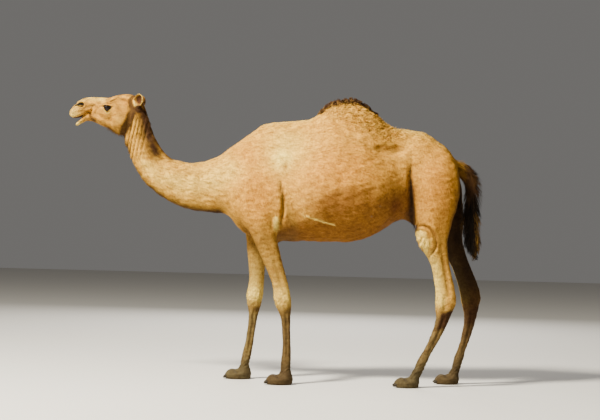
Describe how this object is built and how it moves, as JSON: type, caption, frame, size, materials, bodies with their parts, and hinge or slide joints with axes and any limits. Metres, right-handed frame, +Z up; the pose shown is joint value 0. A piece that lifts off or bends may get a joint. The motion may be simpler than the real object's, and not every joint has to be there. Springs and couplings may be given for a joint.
{
  "type": "dromedary camel",
  "caption": "Life-size still model of a one-humped camel standing with its head raised, short sandy coat, woolly hump crest and dark tail tuft.",
  "frame": {"origin": "middle of the bounding box, on the floor", "axes": "+Z up; the camel faces -X; its left side is towards -Y"},
  "size_m": [2.8944, 0.6114, 1.98],
  "materials": {
    "body_coat": "short sandy hair",
    "face_coat": "very short pale hair",
    "ear_coat": "short soft hair",
    "leg_coat": "short dusty hair",
    "foot_skin": "rough dusty skin",
    "groin_skin": "bare skin in shadow",
    "pad_skin": "thick bare skin",
    "tail_hair": "coarse dark hair",
    "eye": "glossy, near black",
    "nail": "dull horn"
  },
  "bodies": {
    "root": {"head": "face_coat", "lower_jaw": "face_coat", "left_ear": "ear_coat", "right_ear": "ear_coat", "left_eye": "eye", "right_eye": "eye", "neck_upper": "body_coat", "neck_lower": "body_coat", "trunk": "body_coat", "hump": "body_coat", "groin_fold": "groin_skin", "chest_pad": "pad_skin", "tail": "tail_hair", "tail_tuft": "tail_hair", "left_foreleg_upper": "body_coat", "left_foreleg_lower": "leg_coat", "left_forefoot": "foot_skin", "left_fore_nail_inner": "nail", "left_fore_nail_outer": "nail", "right_foreleg_upper": "body_coat", "right_foreleg_lower": "leg_coat", "right_forefoot": "foot_skin", "right_fore_nail_inner": "nail", "right_fore_nail_outer": "nail", "left_hindleg_upper": "body_coat", "left_hindleg_lower": "leg_coat", "left_hindfoot": "foot_skin", "left_hind_nail_inner": "nail", "left_hind_nail_outer": "nail", "right_hindleg_upper": "body_coat", "right_hindleg_lower": "leg_coat", "right_hindfoot": "foot_skin", "right_hind_nail_inner": "nail", "right_hind_nail_outer": "nail"}
  },
  "joints": []
}
